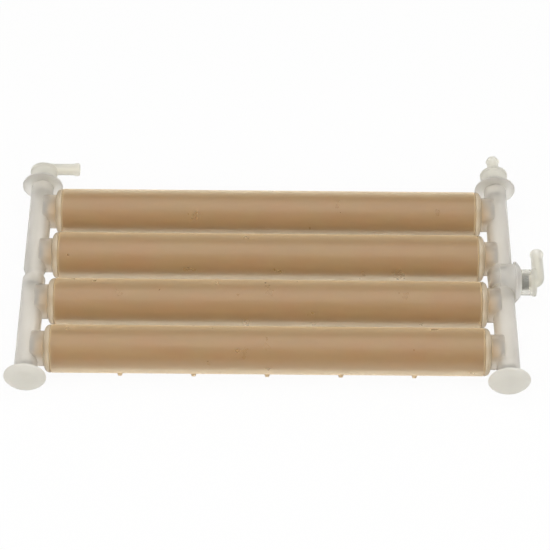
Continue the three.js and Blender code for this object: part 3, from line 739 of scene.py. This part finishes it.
# The same plastic, solid and thick: milkier, so its face looks flat and pale.
thick, tree, coords = new_material("thick_milky_polypropylene")
cloud, tint = cloudy_colour(tree, coords, "#ece9e1", "#e4e1d8")
plastic = add_node(tree, "BsdfPrincipled", {
    "Base Color": tint, "Transmission Weight": 0.3, "IOR": 1.49, "Subsurface Weight": 0.6,
    "Subsurface Radius": (1, 0.95, 0.85), "Subsurface Scale": 1 * MM, "Roughness": 0.45,
    "Normal": grained_skin(tree, coords)})
let_light_through(tree, plastic, "#c8c5bb")

for side in ("left", "right"):
    place = middle_of(f"end_plug_{side}")
    place.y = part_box(f"end_plug_{side}")[0].y + FLANGE_FACE * MM
    plug = turned(f"pipe_plug_{side}", [[0, -STEM_LENGTH], *stem_outline, *flange_outline(),
                                        [0, FLANGE_FACE]])
    round_edges(plug, PLUG_EDGE, 2)
    stand(plug, place, -Y_AXIS)
    finish_piece(plug, thick, f"plug_{side}", "milky_plastic", f"end_plug_{side}")
    plug_ring = sealing_ring(f"plug_seal_{side}", STEM_R - PIPE_RING_SECTION / 2,
                             PIPE_RING_SECTION)
    stand(plug_ring, place - Y_AXIS * stem_ring_at * MM, -Y_AXIS)
    finish_piece(plug_ring, rubber, f"plug_{side}", "rubber", f"plug_ring_{side}")

# ---- Floor, light and camera ----
# A white table in a pale room whose side walls are brighter, under a broad soft lamp, with a
# softbox at each end in front. The table looks white but keeps a faint shadow.

TABLE_SIZE, TABLE_DROP = 8, 0.0003
TABLE_WHITE = 0.94
ROOM_DEPTH, ROOM_SIDES = 0.15, 0.75
VIEW_ELEVATION, VIEW_ROLL, VIEW_DISTANCE = 50.51, 0.497, 1.193
VIEW_LENS, VIEW_SHIFT = 144.34, (0.01277, 0.00941)

bpy.ops.object.select_all(action="DESELECT")
bpy.ops.mesh.primitive_plane_add(size=TABLE_SIZE, location=(0, 0, -TABLE_DROP))
table = bpy.context.object
table.name = "table"
paper, tree, coords = new_material("white_card")
path = add_node(tree, "LightPath", {})
seen = add_node(tree, "Math", {0: path.outputs["Is Camera Ray"],
                               1: path.outputs["Is Glossy Ray"]}, operation="MAXIMUM")
seen = add_node(tree, "Math", {0: seen.outputs[0],
                               1: path.outputs["Is Transmission Ray"]}, operation="MAXIMUM")
share = add_node(tree, "Math", {0: seen.outputs[0], 1: TABLE_WHITE}, operation="MULTIPLY")
card = add_node(tree, "BsdfDiffuse", {"Color": linear("#f2f2f0")})
white = add_node(tree, "Emission", {"Color": (1, 1, 1, 1), "Strength": 1.0})
both = add_node(tree, "MixShader", {0: share.outputs[0], 1: card.outputs[0],
                                    2: white.outputs[0]})
add_node(tree, "OutputMaterial", {"Surface": both.outputs[0]})
table.data.materials.append(paper)

room = bpy.data.worlds.new("pale_room")
bpy.context.scene.world = room
room.use_nodes = True
tree = room.node_tree
tree.nodes.clear()
ways = add_node(tree, "SeparateXYZ", {0: add_node(tree, "TexCoord", {}).outputs["Generated"]})
sideways = add_node(tree, "Math", {0: ways.outputs["X"]}, operation="ABSOLUTE")
glow = add_node(tree, "MapRange", {"Value": sideways.outputs[0], "From Min": 0.3,
                                   "From Max": 0.6, "To Min": ROOM_DEPTH, "To Max": ROOM_SIDES})
path = add_node(tree, "LightPath", {})
light = add_node(tree, "Background", {"Strength": glow.outputs[0], "Color": (1, 1, 1, 1)})
backdrop = add_node(tree, "Background", {"Strength": 1.0, "Color": (1, 1, 1, 1)})
mixed = add_node(tree, "MixShader", {0: path.outputs["Is Camera Ray"], 1: light.outputs[0],
                                     2: backdrop.outputs[0]})
add_node(tree, "OutputWorld", {"Surface": mixed.outputs[0]})

for name, way, distance, size, watts in (
        ("softbox_over", (0, 0, 1), 0.8, (0.8, 0.9), 3.1),
        ("softbox_left", (-0.6, -0.56, 0.57), 1.0, (0.6, 0.6), 2.4),
        ("softbox_right", (0.6, -0.56, 0.57), 1.0, (0.6, 0.6), 2.4)):
    way = Vector(way).normalized()
    bpy.ops.object.light_add(type="AREA", location=way * distance)
    lamp = bpy.context.object
    lamp.name = name
    lamp.rotation_euler = (-way).to_track_quat("-Z", "Y").to_euler()
    lamp.data.shape = "RECTANGLE"
    lamp.data.size, lamp.data.size_y = size
    lamp.data.energy = watts

bpy.context.scene.view_settings.view_transform = "Standard"
back = Vector((0, -cos(radians(VIEW_ELEVATION)), sin(radians(VIEW_ELEVATION))))
bpy.ops.object.camera_add(location=bank_middle + back * VIEW_DISTANCE)
camera = bpy.context.object
look = (-back).to_track_quat("-Z", "Y").to_matrix() @ Matrix.Rotation(radians(VIEW_ROLL), 3, "Z")
camera.rotation_euler = look.to_euler()
camera.data.lens = VIEW_LENS
camera.data.sensor_width = 36
camera.data.shift_x, camera.data.shift_y = VIEW_SHIFT
camera.data.clip_end = 20
bpy.context.scene.camera = camera
